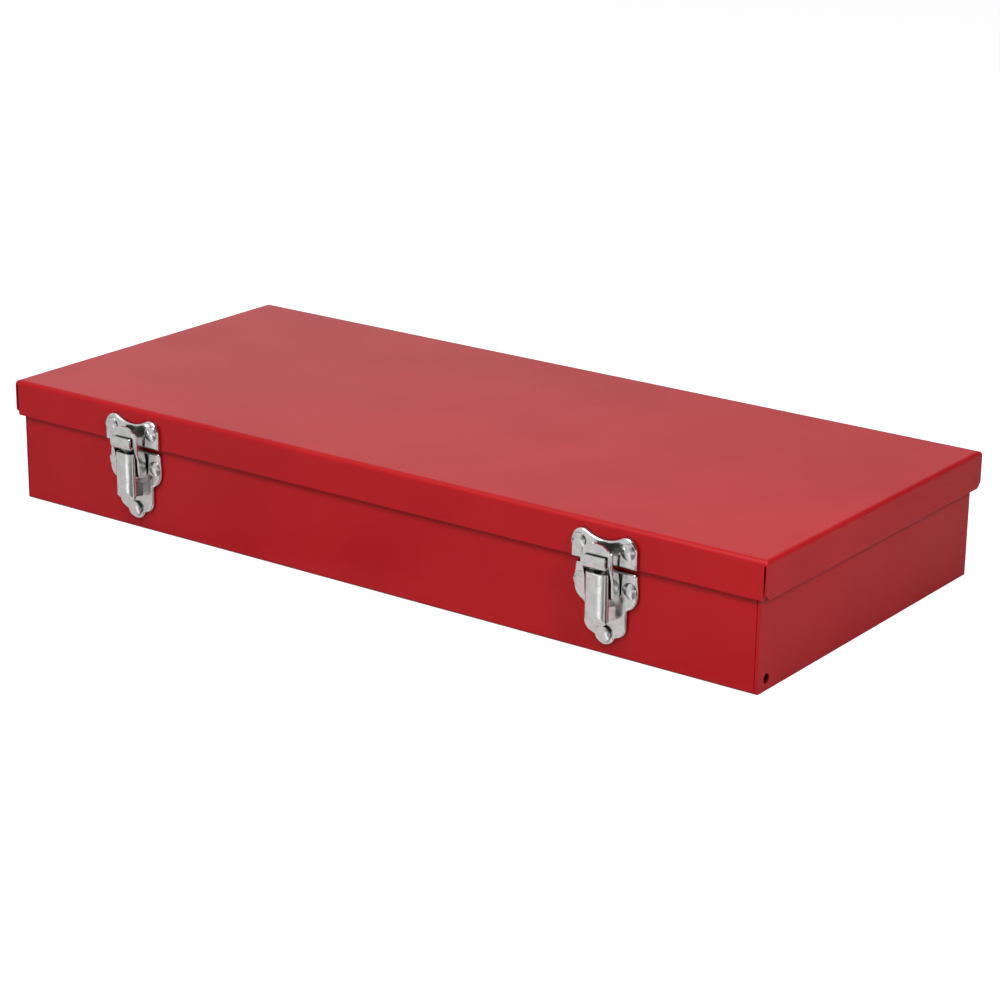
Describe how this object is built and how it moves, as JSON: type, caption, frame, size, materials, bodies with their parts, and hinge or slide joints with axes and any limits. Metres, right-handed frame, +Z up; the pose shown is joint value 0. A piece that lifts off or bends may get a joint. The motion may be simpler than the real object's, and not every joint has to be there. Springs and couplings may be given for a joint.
{
  "type": "hinged tool case",
  "caption": "Flat red steel tool case with a full-width hinged lid, a long knuckle hinge at the back and over-centre draw latches on the front.",
  "frame": {"origin": "centre of the tray's bottom face, on the surface that the case stands on", "axes": "+X along the front from left to right, -Y out of the front (the latches), +Z up"},
  "size_m": [0.4784, 0.227, 0.0673],
  "materials": {
    "red_paint": "semi-gloss powder coat",
    "latch_plating": "bright nickel plate",
    "hinge_pin_steel": "drawn wire"
  },
  "bodies": {
    "case": {"body_tray": "red_paint", "hinge_body_leaf": "red_paint", "hinge_pin": "hinge_pin_steel", "left_base_plate": "latch_plating", "left_base_rivets": "latch_plating", "left_foot_rivet": "latch_plating", "left_lever_pin": "latch_plating", "right_base_plate": "latch_plating", "right_base_rivets": "latch_plating", "right_foot_rivet": "latch_plating", "right_lever_pin": "latch_plating"},
    "lid_assembly": {"lid": "red_paint", "hinge_lid_leaf": "red_paint", "left_strike_plate": "latch_plating", "left_strike_rivets": "latch_plating", "right_strike_plate": "latch_plating", "right_strike_rivets": "latch_plating"},
    "left_lever_body": {"left_lever": "latch_plating"},
    "left_link_body": {"left_draw_link": "latch_plating"},
    "right_lever_body": {"right_lever": "latch_plating"},
    "right_link_body": {"right_draw_link": "latch_plating"}
  },
  "joints": [
    {"name": "lid_hinge", "type": "hinge", "parent": "case", "child": "lid_assembly", "pos_m": [0, 0.107, 0.0506], "axis": [-1, 0, 0], "range_deg": [0, 180]},
    {"name": "left_lever_pivot", "type": "hinge", "parent": "case", "child": "left_lever_body", "pos_m": [-0.1512, -0.1122, 0.0392], "axis": [-1, 0, 0], "range_deg": [0, 90]},
    {"name": "left_link_pivot", "type": "hinge", "parent": "left_lever_body", "child": "left_link_body", "pos_m": [-0.1512, -0.1098, 0.0336], "axis": [-1, 0, 0], "range_deg": [-63, 0]},
    {"name": "right_lever_pivot", "type": "hinge", "parent": "case", "child": "right_lever_body", "pos_m": [0.1512, -0.1122, 0.0392], "axis": [-1, 0, 0], "range_deg": [0, 90]},
    {"name": "right_link_pivot", "type": "hinge", "parent": "right_lever_body", "child": "right_link_body", "pos_m": [0.1512, -0.1098, 0.0336], "axis": [-1, 0, 0], "range_deg": [-63, 0]}
  ],
  "couplings": [
    {"joint": "left_link_pivot", "follows": "left_lever_pivot", "ratio": -0.693},
    {"joint": "right_link_pivot", "follows": "right_lever_pivot", "ratio": -0.693}
  ]
}
